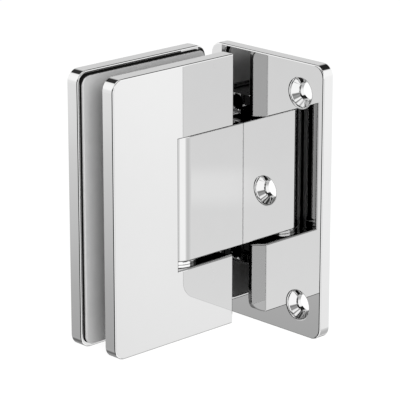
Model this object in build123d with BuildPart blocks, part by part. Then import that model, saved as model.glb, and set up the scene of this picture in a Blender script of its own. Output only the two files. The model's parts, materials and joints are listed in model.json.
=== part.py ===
from build123d import *
import os

os.makedirs("parts", exist_ok=True)

# Sizes are millimetres. X runs to the wall, Y to the rear, Z up the pivot axis.
# The origin lies on the back of the wall plate, level with the middle of the glass.

# Plates
plate_height = 90.0
corner_radius = 4.0
edge_round = 0.5
inner_chamfer = 0.4
wall_width = 49.5
wall_thickness = 4.5
clamp_length = 54.5
clamp_thickness = 5.0
clamp_gap = 11.0
wall_gap = 4.4
end_bevel = 3.4

# Wall plate screw holes
hole_end_inset = 10.0
hole_inset = 9.8
hole_radius = 2.8
hole_mouth_radius = 4.7
hole_mouth_depth = 0.9
hole_mouth_round = 0.5
hole_throat_chamfer = 0.3
sink_angle = 90

# Notch, pivot block and lugs
pivot_reach = 23.2
block_thickness = 14.8
block_round = 0.4
block_foot_chamfer = 0.25
nose_gap = 1.0
notch_height = 43.2
washer_thickness = 0.95
washer_chamfer = 0.12
running_gap = 0.05
lug_height = 7.4
lug_clearance = 0.3
lug_chamfer = 0.8

# Pivot pin, bushings and washers
pin_radius = 4.0
pin_inset = 1.0
pin_chamfer = 0.6
cam_flat = 3.3
cam_length = 19.0
pin_flat_depth = 0.5
bushing_radius = 5.5
bushing_length = 8.0
bushing_chamfer = 0.3
middle_bore_radius = 4.6
washer_bore_gap = 0.15

# Sprung plungers
plunger_radius = 2.5
plunger_length = 8.0
plunger_chamfer = 0.6
plunger_spacing = 11.0
spigot_radius = 1.3
spigot_length = 2.5
spring_wire = 0.8
spring_radius = 1.85
spring_turns = 4.5

# Screws
screw_radius = 2.5
screw_head_radius = 4.6
screw_head_recess = 0.2
screw_tip_chamfer = 0.4
socket_size = 3.0
socket_depth = 2.0
block_screw_inset = 7.1
block_screw_length = 13.0
clamp_screw_offset = 5.2
clamp_screw_length = 17.0
set_screw_length = 8.0
hole_spare = 1.0
mouth_chamfer = 0.3

# Gaskets
gasket_thickness = 1.2
gasket_margin = 1.2
gasket_chamfer = 0.3
gasket_corner_radius = 3.0
cutout_clearance = 1.0
cutout_radius = 4.0

# Places worked out from the sizes above
wall_face = -wall_thickness
block_half = block_thickness / 2
wall_middle = block_half - wall_width / 2
pivot_x = wall_face - pivot_reach
clamp_end = wall_face - wall_gap
clamp_middle = clamp_end - clamp_length / 2
half_gap = clamp_gap / 2
outer_face = half_gap + clamp_thickness
half_height = plate_height / 2
hole_height = half_height - hole_end_inset
notch_half = notch_height / 2
notch_floor = pivot_x - block_half - nose_gap
block_height = notch_height - 2 * (washer_thickness + running_gap)
block_end = block_height / 2
block_screw_height = block_end - block_screw_inset
lug_end = notch_half + lug_height
lug_middle = notch_half + lug_height / 2
lug_depth = clamp_gap - lug_clearance
bore_radius = pin_radius + running_gap
clamp_screw_x = notch_floor - clamp_screw_offset
plunger_tip = pivot_x + pin_radius + running_gap
plunger_back = plunger_tip + plunger_length
sides = (("upper", 1), ("lower", -1))

wall_front_plane = Plane(origin=(wall_face, 0, 0), x_dir=(0, -1, 0), z_dir=(-1, 0, 0))
wall_back_plane = Plane.YZ
front_inner_plane = Plane.XZ.offset(half_gap)
rear_inner_plane = Plane.XZ.offset(-half_gap)
rear_outer_plane = Plane(origin=(0, outer_face, 0), x_dir=(-1, 0, 0), z_dir=(0, 1, 0))


def pair(height):
    """Two points on the pivot side, one above and one below the middle."""
    return (0, height), (0, -height)


def countersunk_screw(top_plane, length):
    """A socket screw whose head lies in top_plane and whose shank runs back from it."""
    with BuildPart() as screw:
        with BuildSketch(top_plane):
            Circle(screw_head_radius)
        extrude(amount=-(screw_head_radius - screw_radius), taper=sink_angle / 2)
        with BuildSketch(top_plane):
            Circle(screw_radius)
        extrude(amount=-length)
        tip = screw.faces().filter_by(GeomType.PLANE).sort_by(Axis(top_plane.origin, top_plane.z_dir))[0]
        chamfer(tip.edges(), screw_tip_chamfer)
        with BuildSketch(top_plane):
            RegularPolygon(socket_size / 2, 6, major_radius=False)
        extrude(amount=-socket_depth, mode=Mode.SUBTRACT)
    return screw.part


def clamp_outline():
    """One clamp plate seen from the front: rounded corners and a notch open to the wall."""
    with BuildSketch(Plane.XY) as outline:
        with Locations((clamp_middle, 0)):
            RectangleRounded(clamp_length, plate_height, corner_radius)
        with Locations((notch_floor, 0)):
            Rectangle(
                clamp_end - notch_floor,
                notch_height,
                align=(Align.MIN, Align.CENTER),
                mode=Mode.SUBTRACT,
            )
    return outline.sketch


def bevel_wedge(side):
    """The corner that is planed off the wall end of a clamp plate, full height."""
    with BuildSketch(Plane.XY.offset(-half_height)) as wedge:
        with BuildLine():
            Polyline(
                (clamp_end - end_bevel, side * outer_face),
                (clamp_end, side * outer_face),
                (clamp_end, side * (outer_face - end_bevel)),
                close=True,
            )
        make_face()
    return wedge.sketch


def outer_edges(plate, side):
    """The edges round the outer face of a clamp plate and round its bevels."""
    outer = plate.faces().sort_by(Axis.Y)[-1 if side > 0 else 0]
    bevels = plate.faces().filter_by(Axis((0, 0, 0), (1, side, 0)))
    return ShapeList([outer, *bevels]).edges()


def gasket_outline():
    """A gasket seen from the front: a C round the cut-out that the glass has at the hinge."""
    with BuildSketch(Plane.XY) as outline:
        with Locations((clamp_middle, 0)):
            RectangleRounded(
                clamp_length - 2 * gasket_margin, plate_height - 2 * gasket_margin, gasket_corner_radius
            )
        cutout_floor = clamp_screw_x - lug_height / 2 - cutout_clearance
        with Locations((cutout_floor, 0)):
            RectangleRounded(
                clamp_length,
                2 * (lug_end + cutout_clearance),
                cutout_radius,
                align=(Align.MIN, Align.CENTER),
                mode=Mode.SUBTRACT,
            )
    return outline.sketch


# Wall plate: rear edge flush with the pivot block, long wing to the front
with BuildPart() as wall_plate:
    with BuildSketch(Plane.YZ.offset(wall_face)):
        with Locations((wall_middle, 0)):
            RectangleRounded(wall_width, plate_height, corner_radius)
    extrude(amount=wall_thickness)
    fillet(wall_plate.faces().sort_by(Axis.X)[0].edges(), edge_round)
    fillet(wall_plate.faces().sort_by(Axis.X)[-1].edges(), edge_round)
    front_hole = wall_width / 2 - wall_middle - hole_inset
    with Locations(wall_front_plane.offset(-hole_mouth_depth)):
        with Locations((front_hole, hole_height), (front_hole, -hole_height), (-wall_middle, 0)):
            CounterSinkHole(hole_radius, hole_mouth_radius, counter_sink_angle=sink_angle)
    mouths = wall_plate.faces().sort_by(Axis.X)[0].edges().filter_by(GeomType.CIRCLE)
    fillet(mouths.group_by(SortBy.RADIUS)[-1], hole_mouth_round)
    throats = wall_plate.faces().filter_by(GeomType.CONE).edges().filter_by(GeomType.CIRCLE)
    chamfer(throats.group_by(SortBy.RADIUS)[0], hole_throat_chamfer)
    with Locations(wall_back_plane):
        with Locations(*pair(block_screw_height)):
            CounterSinkHole(
                screw_radius, screw_head_radius + screw_head_recess, counter_sink_angle=sink_angle
            )
wall_plate.part.label = "wall_plate"
export_step(wall_plate.part, "parts/wall_plate.step")

# Pivot block: a bar with a full round nose about the pivot axis, bored for the pin and the plungers
with BuildPart() as pivot_block:
    with BuildSketch(Plane.XY.offset(-block_end)):
        with Locations((wall_face, 0)):
            Rectangle(pivot_reach, block_thickness, align=(Align.MAX, Align.CENTER))
        with Locations((pivot_x, 0)):
            Circle(block_half)
    extrude(amount=block_height)
    for end in (0, -1):
        rim = pivot_block.faces().filter_by(Axis.Z).sort_by(Axis.Z)[end].edges().sort_by(Axis.X)[:-1]
        fillet(rim, block_round)
    chamfer(pivot_block.faces().sort_by(Axis.X)[-1].edges(), block_foot_chamfer)
    with BuildSketch(Plane.XY.offset(-block_end)):
        with Locations((pivot_x, 0)):
            Circle(middle_bore_radius)
    extrude(amount=block_height, mode=Mode.SUBTRACT)
    for seat_floor in (-block_end, block_end - bushing_length):
        with BuildSketch(Plane.XY.offset(seat_floor)):
            with Locations((pivot_x, 0)):
                Circle(bushing_radius)
        extrude(amount=bushing_length, mode=Mode.SUBTRACT)
    with BuildSketch(Plane.YZ.offset(wall_face)):
        with Locations(*pair(plunger_spacing / 2)):
            Circle(plunger_radius + running_gap)
    extrude(amount=-pivot_reach, mode=Mode.SUBTRACT)
    with BuildSketch(Plane.YZ.offset(wall_face)):
        with Locations(*pair(block_screw_height)):
            Circle(screw_radius)
    extrude(amount=-(block_screw_length - wall_thickness + hole_spare), mode=Mode.SUBTRACT)
pivot_block.part.label = "pivot_block"
export_step(pivot_block.part, "parts/pivot_block.step")

# Front clamp plate with the two lugs that carry the pin, cast in one piece
with BuildPart() as front_clamp_plate:
    with BuildSketch(front_inner_plane):
        add(clamp_outline())
    extrude(amount=clamp_thickness)
    add(extrude(bevel_wedge(-1), amount=plate_height, mode=Mode.PRIVATE), mode=Mode.SUBTRACT)
    fillet(outer_edges(front_clamp_plate, -1), edge_round)
    chamfer(front_clamp_plate.faces().sort_by(Axis.Y)[-1].edges(), inner_chamfer)
    with BuildSketch(front_inner_plane.offset(inner_chamfer)) as lugs:
        with Locations(*pair(lug_middle)):
            with Locations((clamp_end, 0)):
                Rectangle(clamp_end - clamp_screw_x, lug_height, align=(Align.MAX, Align.CENTER))
            with Locations((clamp_screw_x, 0)):
                Circle(lug_height / 2)
        end_corners = lugs.vertices().group_by(Axis.X)[-1].sort_by(Axis.Y)
        chamfer((end_corners[0], end_corners[-1]), lug_chamfer)
    extrude(amount=-(lug_depth + inner_chamfer))
    with BuildSketch(Plane.XY.offset(-lug_end)):
        with Locations((pivot_x, 0)):
            Circle(pin_radius)
    extrude(amount=2 * lug_end, mode=Mode.SUBTRACT)
    with BuildSketch(Plane.YZ.offset(clamp_end)):
        with Locations(*pair(lug_middle)):
            Circle(screw_radius)
    extrude(amount=pivot_x - clamp_end, mode=Mode.SUBTRACT)
    lug_ends = front_clamp_plate.faces().filter_by(Axis.X).group_by(Axis.X)[-1]
    chamfer(lug_ends.edges().filter_by(GeomType.CIRCLE), mouth_chamfer)
    with BuildSketch(front_inner_plane.offset(-lug_depth)):
        with Locations((clamp_screw_x, lug_middle), (clamp_screw_x, -lug_middle)):
            Circle(screw_radius)
    screw_hole_depth = clamp_screw_length + hole_spare - clamp_thickness - lug_clearance
    extrude(amount=screw_hole_depth, mode=Mode.SUBTRACT)
front_clamp_plate.part.label = "front_clamp_plate"
export_step(front_clamp_plate.part, "parts/front_clamp_plate.step")

# Rear clamp plate, drawn to the front one by two countersunk screws
with BuildPart() as rear_clamp_plate:
    with BuildSketch(rear_inner_plane):
        add(clamp_outline())
    extrude(amount=-clamp_thickness)
    add(extrude(bevel_wedge(1), amount=plate_height, mode=Mode.PRIVATE), mode=Mode.SUBTRACT)
    fillet(outer_edges(rear_clamp_plate, 1), edge_round)
    fillet(rear_clamp_plate.faces().sort_by(Axis.Y)[0].edges(), edge_round)
    with Locations(rear_outer_plane):
        with Locations((-clamp_screw_x, lug_middle), (-clamp_screw_x, -lug_middle)):
            CounterSinkHole(
                screw_radius, screw_head_radius + screw_head_recess, counter_sink_angle=sink_angle
            )
rear_clamp_plate.part.label = "rear_clamp_plate"
export_step(rear_clamp_plate.part, "parts/rear_clamp_plate.step")

# Gaskets between the clamp plates and the glass
for name, inner_plane, inward in (("front", front_inner_plane, -1), ("rear", rear_inner_plane, 1)):
    with BuildPart() as gasket:
        with BuildSketch(inner_plane):
            add(gasket_outline())
        extrude(amount=inward * gasket_thickness)
        glass_side = gasket.faces().filter_by(Axis.Y).sort_by(Axis.Y)[-1 if name == "front" else 0]
        chamfer(glass_side.edges(), gasket_chamfer)
    gasket.part.label = f"{name}_gasket"
    export_step(gasket.part, f"parts/{name}_gasket.step")

# Pivot pin: flats round the middle for the plungers, and one at each end for the set screws
with BuildPart() as pivot_pin:
    pin_end = lug_end - pin_inset
    with BuildSketch(Plane.XY.offset(-pin_end)):
        with Locations((pivot_x, 0)):
            Circle(pin_radius)
    extrude(amount=2 * pin_end)
    chamfer(pivot_pin.edges().filter_by(GeomType.CIRCLE), pin_chamfer)
    with BuildSketch(Plane.XY.offset(-cam_length / 2)):
        with Locations((pivot_x, 0)):
            Circle(pin_radius)
            Rectangle(2 * cam_flat, 2 * cam_flat, mode=Mode.SUBTRACT)
    extrude(amount=cam_length, mode=Mode.SUBTRACT)
    with BuildSketch(Plane.YZ.offset(pivot_x + pin_radius)):
        with Locations(*pair(lug_middle)):
            Rectangle(2 * pin_radius, 2 * (screw_radius + running_gap))
    extrude(amount=-pin_flat_depth, mode=Mode.SUBTRACT)
pivot_pin.part.label = "pivot_pin"
export_step(pivot_pin.part, "parts/pivot_pin.step")

for name, side in sides:
    # Bushing pressed into the end of the block
    with BuildPart() as bushing:
        with BuildSketch(Plane.XY.offset(side * block_end)):
            with Locations((pivot_x, 0)):
                Circle(bushing_radius)
                Circle(bore_radius, mode=Mode.SUBTRACT)
        extrude(amount=-side * bushing_length)
        chamfer(bushing.edges().filter_by(GeomType.CIRCLE).group_by(SortBy.RADIUS)[-1], bushing_chamfer)
    bushing.part.label = f"{name}_bushing"
    export_step(bushing.part, f"parts/{name}_bushing.step")

    # Thrust washer that lies against the lug
    with BuildPart() as washer:
        with BuildSketch(Plane.XY.offset(side * notch_half)):
            with Locations((pivot_x, 0)):
                Circle(block_half)
                Circle(pin_radius + washer_bore_gap, mode=Mode.SUBTRACT)
        extrude(amount=-side * washer_thickness)
        chamfer(washer.edges().filter_by(GeomType.CIRCLE).group_by(SortBy.RADIUS)[-1], washer_chamfer)
    washer.part.label = f"{name}_thrust_washer"
    export_step(washer.part, f"parts/{name}_thrust_washer.step")

    # Plunger, drawn back just clear of the pin's round corners
    height = side * plunger_spacing / 2
    with BuildPart() as plunger:
        with BuildSketch(Plane(origin=(plunger_tip, 0, height), z_dir=(1, 0, 0))):
            Circle(plunger_radius)
        extrude(amount=plunger_length)
        chamfer(plunger.edges().filter_by(GeomType.CIRCLE).sort_by(Axis.X)[0], plunger_chamfer)
        with BuildSketch(Plane(origin=(plunger_back, 0, height), z_dir=(1, 0, 0))):
            Circle(spigot_radius)
        extrude(amount=spigot_length)
    plunger.part.label = f"{name}_plunger"
    export_step(plunger.part, f"parts/{name}_plunger.step")

    # Coil spring of square wire between the plunger's shoulder and the wall plate
    with BuildPart() as spring:
        coil_length = wall_face - plunger_back - spring_wire
        with BuildLine() as coil:
            Helix(
                coil_length / spring_turns,
                coil_length,
                spring_radius,
                center=(plunger_back + spring_wire / 2, 0, height),
                direction=(1, 0, 0),
            )
        with BuildSketch(Plane(origin=coil.line @ 0, z_dir=coil.line % 0)):
            Rectangle(spring_wire, spring_wire)
        sweep(path=coil.line, is_frenet=True)
    spring.part.label = f"{name}_spring"
    export_step(spring.part, f"parts/{name}_spring.step")

    # Screw from the back of the wall plate into the block
    head_plane = Plane(origin=(-screw_head_recess, 0, side * block_screw_height), z_dir=(1, 0, 0))
    block_screw = countersunk_screw(head_plane, block_screw_length - screw_head_recess)
    block_screw.label = f"{name}_block_screw"
    export_step(block_screw, f"parts/{name}_block_screw.step")

    # Screw from the rear clamp plate into the lug of the front one
    head_plane = Plane(
        origin=(clamp_screw_x, outer_face - screw_head_recess, side * lug_middle), z_dir=(0, 1, 0)
    )
    clamp_screw = countersunk_screw(head_plane, clamp_screw_length - screw_head_recess)
    clamp_screw.label = f"{name}_clamp_screw"
    export_step(clamp_screw, f"parts/{name}_clamp_screw.step")

    # Set screw in the lug, tight on the flat of the pin
    with BuildPart() as set_screw:
        set_screw_tip = pivot_x + pin_radius - pin_flat_depth
        with BuildSketch(Plane(origin=(set_screw_tip, 0, side * lug_middle), z_dir=(1, 0, 0))):
            Circle(screw_radius)
        extrude(amount=set_screw_length)
        chamfer(set_screw.edges().filter_by(GeomType.CIRCLE), screw_tip_chamfer)
        socket_mouth = set_screw_tip + set_screw_length
        with BuildSketch(Plane(origin=(socket_mouth, 0, side * lug_middle), z_dir=(1, 0, 0))):
            RegularPolygon(socket_size / 2, 6, major_radius=False)
        extrude(amount=-socket_depth, mode=Mode.SUBTRACT)
    set_screw.part.label = f"{name}_pin_set_screw"
    export_step(set_screw.part, f"parts/{name}_pin_set_screw.step")
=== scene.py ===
import json
import math

import bmesh
import bpy
from mathutils import Matrix, Vector


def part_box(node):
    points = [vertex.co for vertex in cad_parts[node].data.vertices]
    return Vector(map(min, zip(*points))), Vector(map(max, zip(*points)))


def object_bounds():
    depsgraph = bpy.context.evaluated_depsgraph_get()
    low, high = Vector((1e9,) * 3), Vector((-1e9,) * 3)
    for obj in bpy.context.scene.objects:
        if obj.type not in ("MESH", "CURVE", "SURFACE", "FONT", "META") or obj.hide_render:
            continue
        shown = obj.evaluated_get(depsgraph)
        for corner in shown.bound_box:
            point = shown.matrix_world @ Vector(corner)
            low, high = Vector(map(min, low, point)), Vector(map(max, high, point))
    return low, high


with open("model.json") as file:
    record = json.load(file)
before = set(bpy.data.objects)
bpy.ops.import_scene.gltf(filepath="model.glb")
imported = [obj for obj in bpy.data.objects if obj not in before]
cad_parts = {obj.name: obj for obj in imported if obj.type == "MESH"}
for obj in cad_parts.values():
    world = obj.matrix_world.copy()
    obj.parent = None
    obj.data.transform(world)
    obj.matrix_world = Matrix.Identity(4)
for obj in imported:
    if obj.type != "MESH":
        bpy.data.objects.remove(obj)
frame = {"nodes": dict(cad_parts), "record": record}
cad_low, cad_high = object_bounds()
nodes = frame["nodes"]
mounts = {mount["name"]: mount for mount in frame["record"]["mounts"]}
MM = 0.001

# Lengths are in metres, and angles in degrees unless math.radians turns them

# Camera: a long lens, held upright, looking down on the hinge from the front left
CAMERA_PLACE = Vector((-0.51844, -0.51820, 0.21702))
CAMERA_YAW = math.radians(45.925)
CAMERA_PITCH = math.radians(17.066)
FOCAL_PIXELS = 2341.7
IMAGE_PIXELS = 400
SENSOR_WIDTH = 36.0
NEAREST_SEEN = 0.01
FARTHEST_SEEN = 50.0

# Grey levels of the surfaces
CHROME = 0.55
STEEL = 0.62
SPRING_STEEL = 0.42
BEARING = 0.94
GASKET = 0.42
# Painted shade: the black of a gasket's recess where it meets its plate
PAINTED_SHADE_BLACK = 0.01

# A gasket's cut edge gets painted shade, black for the recess where it meets its plate, this far from the
# middle of the glass, and its top edge sooner.
# It counts as cut edge where it faces the glass by less than CUT_EDGE_FACING.
PAINTED_SHADE_FOOT = (0.0049, 0.0051)
PAINTED_SHADE_TOP = 0.0009
CUT_EDGE_FACING = (0.85, 0.75)

# Noise of the surfaces: the broad one has specks this many times as large as the fine one's
BROAD_SPECKS = 12
BROAD_DETAIL = 2.0
FINE_DETAIL = 5.0

# Mirror discs in front of the wall plate's holes
HOLE_MIRROR_RADIUS = 0.0053
HOLE_MIRROR_LIFT = 0.00001
HOLE_MIRROR_POINTS = 48

# What reflections see: Ray Depth in the world is one more than the mirrors that a ray has met.
# A first reflection is no brighter than SKY_LIMIT, and deep ones fade out.
FIRST_MIRROR = 2.5
SKY_LIMIT = 1.66
BRIGHT_MIRROR = 4.0
DEEPEST_MIRROR = 5.6

# Light that falls on the hinge, and the floor that it stands on
DAYLIGHT = 0.45
KEY_PLACE = Vector((-0.55, -0.90, 0.38))
KEY_SIZE = 0.7
KEY_POWER = 14.0
FLOOR_SIZE = 8.0
FLOOR_DROP = 0.0001
FLOOR_GLOW = 0.93
FLOOR_SHADED = 0.16
FLOOR_COLOUR = 0.80


def rotation(yaw, pitch):
    """The turn of a camera that looks along yaw and down by pitch, with its top upward."""
    forward = Vector((math.cos(yaw) * math.cos(pitch), math.sin(yaw) * math.cos(pitch), -math.sin(pitch)))
    right = forward.cross(Vector((0, 0, 1))).normalized()
    up = right.cross(forward)
    return Matrix((right, up, -forward)).transposed()


def grey(level):
    return level, level, level, 1


def put(name, data):
    """A new object in the scene."""
    made = bpy.data.objects.new(name, data)
    bpy.context.scene.collection.objects.link(made)
    return made


def make_camera():
    data = bpy.data.cameras.new("camera")
    data.sensor_width = SENSOR_WIDTH
    data.lens = FOCAL_PIXELS / IMAGE_PIXELS * SENSOR_WIDTH
    data.clip_start = NEAREST_SEEN
    data.clip_end = FARTHEST_SEEN
    camera = put("camera", data)
    camera.matrix_world = Matrix.Translation(CAMERA_PLACE) @ rotation(CAMERA_YAW, CAMERA_PITCH).to_4x4()
    bpy.context.scene.camera = camera


class Tree:
    """Short words for wiring a node tree."""

    def __init__(self, tree):
        self.tree = tree
        self.tree.nodes.clear()

    def node(self, kind, **settings):
        made = self.tree.nodes.new(kind)
        for name, value in settings.items():
            setattr(made, name, value)
        return made

    def link(self, output, entry):
        self.tree.links.new(output, entry)

    def feed(self, entry, value):
        """Links a socket, or sets a plain value."""
        if isinstance(value, bpy.types.NodeSocket):
            self.link(value, entry)
        else:
            entry.default_value = value

    def math(self, operation, *values):
        made = self.node("ShaderNodeMath", operation=operation)
        for entry, value in zip(made.inputs, values):
            self.feed(entry, value)
        return made.outputs[0]

    def step(self, value, low, high):
        """0 below low, 1 above high and smooth between; falling where low is above high."""
        made = self.node("ShaderNodeMapRange", interpolation_type="SMOOTHSTEP")
        made.clamp = True
        self.feed(made.inputs["Value"], value)
        rising = low < high
        made.inputs["From Min"].default_value = min(low, high)
        made.inputs["From Max"].default_value = max(low, high)
        made.inputs["To Min"].default_value = 0.0 if rising else 1.0
        made.inputs["To Max"].default_value = 1.0 if rising else 0.0
        return made.outputs[0]

    def mix(self, share, first, second, kind="FLOAT"):
        """The first value where share is 0 and the second where it is 1; kind RGBA is for colours."""
        made = self.node("ShaderNodeMix", data_type=kind)
        self.feed(made.inputs["Factor"], share)
        self.feed(made.inputs["A"], first)
        self.feed(made.inputs["B"], second)
        return made.outputs["Result"]

    def split(self, vector):
        """The X, Y and Z of a vector."""
        made = self.node("ShaderNodeSeparateXYZ")
        self.link(vector, made.inputs[0])
        return made.outputs

    def noise(self, vector, speck, detail):
        """Noise between 0 and 1 with specks of the given size."""
        made = self.node("ShaderNodeTexNoise")
        made.inputs["Scale"].default_value = 1 / speck
        made.inputs["Detail"].default_value = detail
        self.link(vector, made.inputs["Vector"])
        return made.outputs["Fac"]

    def curve(self, value, points):
        """A smooth curve through (place, height) points."""
        made = self.node("ShaderNodeFloatCurve")
        self.feed(made.inputs["Value"], value)
        line = made.mapping.curves[0]
        made.mapping.use_clip = False
        while len(line.points) < len(points):
            line.points.new(0.5, 0.5)
        for point, (place, height) in zip(line.points, points):
            point.location = (place, height)
            point.handle_type = "AUTO_CLAMPED"
        made.mapping.update()
        return made.outputs[0]

    def finish(self, shader, kind="ShaderNodeOutputMaterial"):
        """Ends the tree with this shader."""
        self.link(shader.outputs[0], self.node(kind).inputs["Surface"])


def new_material(name):
    """A material and its empty tree."""
    material = bpy.data.materials.new(name)
    material.use_nodes = True
    return material, Tree(material.node_tree)


def sine(degrees):
    return math.sin(math.radians(degrees))


def cosine(degrees):
    return math.cos(math.radians(degrees))


# What polished metal sees round it: brightness by height above the horizon. Its curves end at SKY_TOP.
SKY_TOP = 4.0
SKY = (
    (-90, 1.60), (-48, 1.75), (-22, 2.25), (-18, 2.18), (-14, 2.08), (-4, 2.00), (4, 1.80), (9, 1.00),
    (15, 0.35), (21, 0.40), (32, 1.00), (40, 1.10), (48, 1.60), (60, 1.50), (90, 1.80),
)

# Sides of the room with a brightness of their own: (middle azimuth, half width, soft edge), brightness
SIDES = (
    ((-20, 28, 8), (
        (-90, 1.00), (-48, 0.80), (-36, 0.85), (-20, 1.42), (-17, 1.48), (-14, 1.56), (-4, 1.58), (1, 1.62),
        (8, 1.85), (14, 2.00), (24, 1.95), (30, 1.75), (38, 1.50), (60, 1.50), (90, 1.60),
    )),
    ((112, 32, 12), (
        (-90, 0.30), (-47, 0.45), (-43, 0.22), (-38, 0.45), (-32, 0.68), (-22, 0.62), (-20, 0.68),
        (-18, 0.87), (-16, 1.08), (-14, 1.31), (0, 1.40), (6, 1.55), (16, 1.80), (30, 1.74),
        (38, 1.57), (48, 1.45), (60, 1.20), (90, 1.50),
    )),
    ((185, 24, 14), (
        (-90, 1.60), (-48, 1.70), (-22, 2.25), (-14, 2.08), (4, 1.40), (16, 0.50), (24, 0.60), (30, 0.90),
        (40, 1.40), (48, 1.60), (60, 1.50), (90, 1.50),
    )),
    ((46, 22, 10), (
        (-90, 0.30), (-40, 0.30), (-20, 0.20), (-6, 0.25), (4, 0.85), (12, 0.92), (17, 0.98), (24, 1.05),
        (32, 0.84), (37, 0.30), (41, 0.06), (55, 0.05), (62, 0.60), (90, 1.50),
    )),
)

# Soft patches: (middle azimuth, half width, soft edge), (lowest, highest, soft edge), level
CARDS = (
    ((-95, 18, 14), (-30, -8, 5), 1.60),
    ((-66, 2, 17), (-30, -8, 5), 0.96),
    ((-118, 5, 4), (-30, -8, 4), 1.20),
    ((176, 34, 3), (-60, 18, 5), 0.03),
    ((0, 22, 8), (37, 56, 4), 0.03),
    ((82, 18, 6), (38, 54, 5), 0.05),
    ((187, 5, 3), (28, 66, 4), 0.50),
    ((213, 3, 3), (28, 66, 4), 0.50),
    ((135, 4, 4), (42, 66, 4), 0.70),
    ((-134, 0.4, 1.6), (-16.9, -16.6, 0.5), 2.37),
    ((-84, 34, 8), (9, 26, 4), 1.70),
    ((-90, 40, 8), (42, 62, 4), 0.10),
)

# A light card on the far side, seen in first reflections alone: the hinge's back faces look at it
BACK_CARD = ((46, 26, 12), (-29, -7, 3), 1.05)


def studio_sky(tree, first_mirror):
    """The grey level that polished metal sees in each direction; first_mirror is 1 in first reflections."""
    x, y, z = tree.split(tree.node("ShaderNodeTexCoord").outputs["Generated"])
    flat = tree.math("SQRT", tree.math("ADD", tree.math("MULTIPLY", x, x), tree.math("MULTIPLY", y, y)))
    height = tree.math("MULTIPLY_ADD", z, 0.5, 0.5)

    def toward(azimuth):
        across = tree.math("MULTIPLY", y, sine(azimuth))
        return tree.math("DIVIDE", tree.math("MULTIPLY_ADD", x, cosine(azimuth), across), flat)

    def brightness(heights):
        points = [((sine(angle) + 1) / 2, value / SKY_TOP) for angle, value in heights]
        return tree.math("MULTIPLY", tree.curve(height, points), SKY_TOP)

    def on_side(azimuth, half_width, edge):
        return tree.step(toward(azimuth), cosine(half_width + edge), cosine(half_width))

    def on_card(side, lowest, highest, edge):
        above = tree.math("MULTIPLY", on_side(*side), tree.step(z, sine(lowest - edge), sine(lowest)))
        return tree.math("MULTIPLY", above, tree.step(z, sine(highest + edge), sine(highest)))

    level = brightness(SKY)
    for side, heights in SIDES:
        level = tree.mix(on_side(*side), level, brightness(heights))
    for side, heights, value in CARDS:
        level = tree.mix(on_card(side, *heights), level, value)
    side, heights, value = BACK_CARD
    level = tree.mix(tree.math("MULTIPLY", on_card(side, *heights), first_mirror), level, value)
    return tree.mix(first_mirror, level, tree.math("MINIMUM", level, SKY_LIMIT))


def make_world():
    world = bpy.data.worlds.new("studio")
    world.use_nodes = True
    bpy.context.scene.world = world
    tree = Tree(world.node_tree)
    ray = tree.node("ShaderNodeLightPath")
    metal_sees = tree.math("MAXIMUM", ray.outputs["Is Glossy Ray"], ray.outputs["Is Transmission Ray"])
    sky = studio_sky(tree, tree.math("LESS_THAN", ray.outputs["Ray Depth"], FIRST_MIRROR))
    reached = tree.step(ray.outputs["Ray Depth"], DEEPEST_MIRROR, BRIGHT_MIRROR)
    level = tree.mix(metal_sees, DAYLIGHT, tree.math("MULTIPLY", sky, reached))
    level = tree.mix(ray.outputs["Is Camera Ray"], level, 1.0)
    light = tree.node("ShaderNodeBackground")
    tree.link(level, light.inputs["Color"])
    tree.finish(light, "ShaderNodeOutputWorld")


def make_key_light():
    data = bpy.data.lights.new("key", "AREA")
    data.size = KEY_SIZE
    data.energy = KEY_POWER
    light = put("key", data)
    toward = (cad_low + cad_high) / 2 - KEY_PLACE
    light.matrix_world = Matrix.Translation(KEY_PLACE) @ toward.to_track_quat("-Z", "Y").to_matrix().to_4x4()
    light.visible_glossy = False


def make_floor():
    half = FLOOR_SIZE / 2
    height = cad_low.z - FLOOR_DROP
    mesh = bpy.data.meshes.new("floor")
    corners = [(x, y, height) for x, y in ((-half, -half), (half, -half), (half, half), (-half, half))]
    mesh.from_pydata(corners, [], [(0, 1, 2, 3)])
    floor = put("floor", mesh)
    floor.visible_glossy = False
    material, tree = new_material("floor")
    seen = tree.node("ShaderNodeLightPath").outputs["Is Camera Ray"]
    diffuse = tree.node("ShaderNodeBsdfDiffuse")
    tree.link(tree.mix(seen, FLOOR_COLOUR, FLOOR_SHADED), diffuse.inputs["Color"])
    glow = tree.node("ShaderNodeEmission")
    tree.link(tree.math("MULTIPLY", seen, FLOOR_GLOW), glow.inputs["Strength"])
    both = tree.node("ShaderNodeAddShader")
    tree.link(diffuse.outputs[0], both.inputs[0])
    tree.link(glow.outputs[0], both.inputs[1])
    tree.finish(both)
    mesh.materials.append(material)


def hole_places():
    """Y and Z of the wall plate's three holes, from its mounts."""
    outer = mounts["wall_screw_pair"]
    half_spacing = outer["dims"]["spacing_y_mm"] / 2 * MM
    _, outer_y, outer_z = outer["pos_m"]
    _, middle_y, middle_z = mounts["wall_middle_screw"]["pos_m"]
    return (outer_y, outer_z + half_spacing), (outer_y, outer_z - half_spacing), (middle_y, middle_z)


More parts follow.
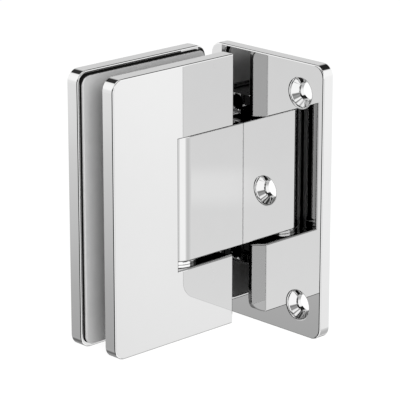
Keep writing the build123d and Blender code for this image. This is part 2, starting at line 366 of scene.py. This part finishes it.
def make_hole_mirrors():
    """Flat one-sided mirrors just in front of the wall plate's three holes, for reflections alone.

    With them a mirrored wall plate looks plain. The camera sees none of them.
    """
    material, tree = new_material("hole_mirror")
    side = tree.node("ShaderNodeNewGeometry")
    metal = tree.node("ShaderNodeBsdfPrincipled")
    metal.inputs["Base Color"].default_value = grey(CHROME)
    metal.inputs["Metallic"].default_value = 1.0
    metal.inputs["Roughness"].default_value = 0.0
    clear = tree.node("ShaderNodeBsdfTransparent")
    both = tree.node("ShaderNodeMixShader")
    tree.link(side.outputs["Backfacing"], both.inputs[0])
    tree.link(metal.outputs[0], both.inputs[1])
    tree.link(clear.outputs[0], both.inputs[2])
    tree.finish(both)
    plate_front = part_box("wall_plate")[0].x
    facing_front = Matrix.Rotation(-math.pi / 2, 4, "Y")
    for y, z in hole_places():
        mesh = bpy.data.meshes.new("hole_mirror")
        ring = bmesh.new()
        bmesh.ops.create_circle(
            ring, cap_ends=True, segments=HOLE_MIRROR_POINTS, radius=HOLE_MIRROR_RADIUS,
            matrix=Matrix.Translation((plate_front - HOLE_MIRROR_LIFT, y, z)) @ facing_front,
        )
        ring.to_mesh(mesh)
        ring.free()
        mesh.materials.append(material)
        mirror = put("hole_mirror", mesh)
        mirror.visible_camera = False
        mirror.visible_diffuse = False
        mirror.visible_shadow = False
        mirror.visible_transmission = False


def painted_recess_shade(tree, place):
    """1 where a gasket gets painted shade for its recess: on its cut edge close to its plate, and all over
    the top edge; 0 elsewhere.
    """
    _, across_glass, _ = tree.split(place.outputs["Object"])
    _, facing_glass, facing_up = tree.split(place.outputs["Normal"])
    upward = tree.math("MAXIMUM", facing_up, 0.0)
    depth = tree.math("MULTIPLY_ADD", upward, PAINTED_SHADE_TOP, tree.math("ABSOLUTE", across_glass))
    near_plate = tree.step(depth, *PAINTED_SHADE_FOOT)
    cut_edge = tree.step(tree.math("ABSOLUTE", facing_glass), *CUT_EDGE_FACING)
    return tree.math("MULTIPLY", near_plate, cut_edge)


def surface(name, level, spread, metallic, roughness, roughness_spread, speck, bump, bump_depth,
            stretch=(1, 1, 1), painted_shade=None):
    """A procedural grey material whose level, gloss and height vary with noise of the given speck size.

    Where given, the last argument is a function that says which parts of the surface get painted shade:
    black, with no shine.
    """
    material, tree = new_material(name)
    place = tree.node("ShaderNodeTexCoord")
    scaled = tree.node("ShaderNodeMapping")
    scaled.inputs["Scale"].default_value = stretch
    tree.link(place.outputs["Object"], scaled.inputs["Vector"])
    broad = tree.noise(scaled.outputs[0], BROAD_SPECKS * speck, BROAD_DETAIL)
    fine = tree.noise(scaled.outputs[0], speck, FINE_DETAIL)
    shader = tree.node("ShaderNodeBsdfPrincipled")
    shader.inputs["Metallic"].default_value = metallic
    colour = tree.mix(broad, grey(level - spread), grey(level + spread), "RGBA")
    if painted_shade is not None:
        # Painted shade: these parts turn black and lose their shine
        share = painted_shade(tree, place)
        colour = tree.mix(share, colour, grey(PAINTED_SHADE_BLACK), "RGBA")
        shine = shader.inputs["Specular IOR Level"]
        tree.link(tree.mix(share, shine.default_value, 0.0), shine)
    tree.link(colour, shader.inputs["Base Color"])
    tree.link(tree.math("MULTIPLY_ADD", fine, roughness_spread, roughness), shader.inputs["Roughness"])
    relief = tree.node("ShaderNodeBump")
    relief.inputs["Strength"].default_value = bump
    relief.inputs["Distance"].default_value = bump_depth
    tree.link(fine, relief.inputs["Height"])
    tree.link(relief.outputs["Normal"], shader.inputs["Normal"])
    tree.finish(shader)
    return material


def dress(material, *names):
    """Gives CAD nodes their finish."""
    for name in names:
        mesh = nodes[name].data
        mesh.materials.clear()
        mesh.materials.append(material)


def make_materials():
    chrome = surface(
        "polished_chrome", CHROME, spread=0.004, metallic=1.0, roughness=0.0, roughness_spread=0.02,
        speck=0.0005, bump=0.02, bump_depth=2e-6,
    )
    steel = surface(
        "turned_steel", STEEL, spread=0.03, metallic=1.0, roughness=0.18, roughness_spread=0.14,
        speck=0.0002, bump=0.2, bump_depth=1e-5, stretch=(1, 1, 6),
    )
    wire = surface(
        "spring_wire", SPRING_STEEL, spread=0.04, metallic=1.0, roughness=0.25, roughness_spread=0.15,
        speck=0.0002, bump=0.2, bump_depth=1e-5,
    )
    bearing = surface(
        "bearing_ring", BEARING, spread=0.02, metallic=1.0, roughness=0.02, roughness_spread=0.03,
        speck=0.0003, bump=0.02, bump_depth=2e-6,
    )
    # The gaskets get painted shade, black, along the recess where each meets its plate
    rubber = surface(
        "gasket_rubber", GASKET, spread=0.02, metallic=0.0, roughness=0.45, roughness_spread=0.10,
        speck=0.0003, bump=0.15, bump_depth=1e-5, painted_shade=painted_recess_shade,
    )
    dress(chrome, "wall_plate", "pivot_block", "front_clamp_plate", "rear_clamp_plate")
    dress(
        steel, "pivot_pin", "upper_plunger", "lower_plunger", "upper_block_screw", "lower_block_screw",
        "upper_clamp_screw", "lower_clamp_screw", "upper_pin_set_screw", "lower_pin_set_screw",
    )
    dress(wire, "upper_spring", "lower_spring")
    dress(bearing, "upper_bushing", "lower_bushing", "upper_thrust_washer", "lower_thrust_washer")
    dress(rubber, "front_gasket", "rear_gasket")


bpy.context.scene.view_settings.view_transform = "Standard"
make_camera()
make_world()
make_key_light()
make_floor()
make_hole_mirrors()
make_materials()
